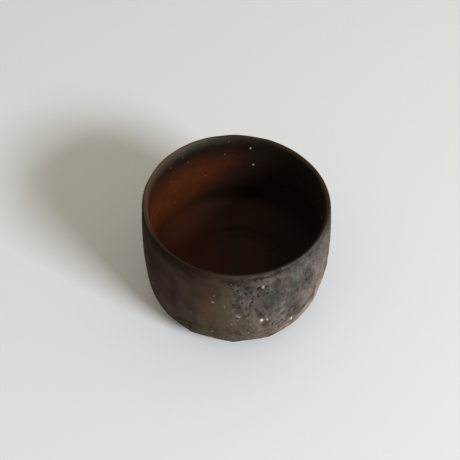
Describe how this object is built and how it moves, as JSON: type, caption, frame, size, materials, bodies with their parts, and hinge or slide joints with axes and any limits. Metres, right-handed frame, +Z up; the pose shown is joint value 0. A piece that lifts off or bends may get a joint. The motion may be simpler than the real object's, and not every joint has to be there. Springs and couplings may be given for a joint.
{
  "type": "tea bowl",
  "caption": "Rounded stoneware tea bowl with a knife-pared heel, a luted foot ring, a dark slip lining and an ash-crusted wall set with pale stones.",
  "frame": {"origin": "on the table, under the middle of the foot ring", "axes": "+Z up towards the lip, -Y towards the side seen in the picture, +X to the right of that side"},
  "size_m": [0.1217, 0.1218, 0.084],
  "materials": {
    "stoneware": "matte",
    "foot_clay": "matte",
    "slip": "satin",
    "ash": "matte",
    "stone": "matte"
  },
  "bodies": {
    "root": {"bowl_body": "stoneware", "foot_ring": "foot_clay", "inner_slip": "slip", "ash_crust": "ash", "wall_stones": "stone", "inner_stones": "stone"}
  },
  "joints": []
}
